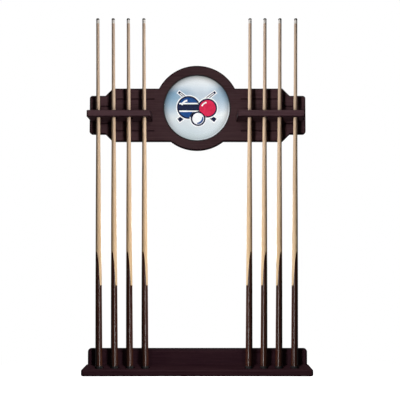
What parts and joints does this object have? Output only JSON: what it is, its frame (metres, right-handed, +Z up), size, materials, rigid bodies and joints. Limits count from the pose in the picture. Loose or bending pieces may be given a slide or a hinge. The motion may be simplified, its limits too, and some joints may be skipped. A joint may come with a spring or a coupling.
{
  "type": "wall cue rack",
  "caption": "Wall-hung rack for billiard cues: a plaque with a round emblem and two pierced cue rails, a butt shelf below, and cues that lift out of its recesses.",
  "frame": {"origin": "on the wall, at the centre of the upper backboard's wings, on its back face", "axes": "+X to the viewer's right, +Y into the wall, +Z up; the fronts face -Y"},
  "size_m": [0.934, 0.124, 1.4738],
  "materials": {
    "espresso_wood": "satin lacquered espresso stain over fine straight grain",
    "emblem_print": "printed silver, softly mottled",
    "clear_lens": "clear gloss acrylic",
    "black_gasket": "matt black",
    "maple": "clear lacquered maple, fine grain",
    "dark_butt": "high gloss dark brown stain",
    "ferrule": "polished ivory white fibre",
    "leather_tip": "pressed leather, chalk dusted",
    "rubber": "matt black rubber",
    "zinc_steel": "zinc plated"
  },
  "bodies": {
    "rack": {"upper_backboard": "espresso_wood", "emblem_panel": "emblem_print", "emblem_lens": "clear_lens", "emblem_gasket": "black_gasket", "cue_rail_left": "espresso_wood", "cue_rail_right": "espresso_wood", "rail_screw_1": "zinc_steel", "rail_screw_2": "zinc_steel", "rail_screw_3": "zinc_steel", "rail_screw_4": "zinc_steel", "upper_hanger_1": "zinc_steel", "upper_hanger_2": "zinc_steel", "lower_backboard": "espresso_wood", "butt_shelf": "espresso_wood", "shelf_screw_1": "zinc_steel", "shelf_screw_2": "zinc_steel", "shelf_screw_3": "zinc_steel", "shelf_screw_4": "zinc_steel", "lower_hanger_1": "zinc_steel", "lower_hanger_2": "zinc_steel"},
    "cue_1": {"cue_1_tip": "leather_tip", "cue_1_ferrule": "ferrule", "cue_1_shaft": "maple", "cue_1_butt": "dark_butt", "cue_1_bumper": "rubber"},
    "cue_2": {"cue_2_tip": "leather_tip", "cue_2_ferrule": "ferrule", "cue_2_shaft": "maple", "cue_2_butt": "dark_butt", "cue_2_bumper": "rubber"},
    "cue_3": {"cue_3_tip": "leather_tip", "cue_3_ferrule": "ferrule", "cue_3_shaft": "maple", "cue_3_butt": "dark_butt", "cue_3_bumper": "rubber"},
    "cue_4": {"cue_4_tip": "leather_tip", "cue_4_ferrule": "ferrule", "cue_4_shaft": "maple", "cue_4_butt": "dark_butt", "cue_4_bumper": "rubber"},
    "cue_5": {"cue_5_tip": "leather_tip", "cue_5_ferrule": "ferrule", "cue_5_shaft": "maple", "cue_5_butt": "dark_butt", "cue_5_bumper": "rubber"},
    "cue_6": {"cue_6_tip": "leather_tip", "cue_6_ferrule": "ferrule", "cue_6_shaft": "maple", "cue_6_butt": "dark_butt", "cue_6_bumper": "rubber"},
    "cue_7": {"cue_7_tip": "leather_tip", "cue_7_ferrule": "ferrule", "cue_7_shaft": "maple", "cue_7_butt": "dark_butt", "cue_7_bumper": "rubber"},
    "cue_8": {"cue_8_tip": "leather_tip", "cue_8_ferrule": "ferrule", "cue_8_shaft": "maple", "cue_8_butt": "dark_butt", "cue_8_bumper": "rubber"}
  },
  "joints": [
    {"name": "cue_1_lift", "type": "slide", "parent": "rack", "child": "cue_1", "axis": [0, 0, 1], "range_m": [0, 0.15]},
    {"name": "cue_2_lift", "type": "slide", "parent": "rack", "child": "cue_2", "axis": [0, 0, 1], "range_m": [0, 0.15]},
    {"name": "cue_3_lift", "type": "slide", "parent": "rack", "child": "cue_3", "axis": [0, 0, 1], "range_m": [0, 0.15]},
    {"name": "cue_4_lift", "type": "slide", "parent": "rack", "child": "cue_4", "axis": [0, 0, 1], "range_m": [0, 0.15]},
    {"name": "cue_5_lift", "type": "slide", "parent": "rack", "child": "cue_5", "axis": [0, 0, 1], "range_m": [0, 0.15]},
    {"name": "cue_6_lift", "type": "slide", "parent": "rack", "child": "cue_6", "axis": [0, 0, 1], "range_m": [0, 0.15]},
    {"name": "cue_7_lift", "type": "slide", "parent": "rack", "child": "cue_7", "axis": [0, 0, 1], "range_m": [0, 0.15]},
    {"name": "cue_8_lift", "type": "slide", "parent": "rack", "child": "cue_8", "axis": [0, 0, 1], "range_m": [0, 0.15]}
  ]
}
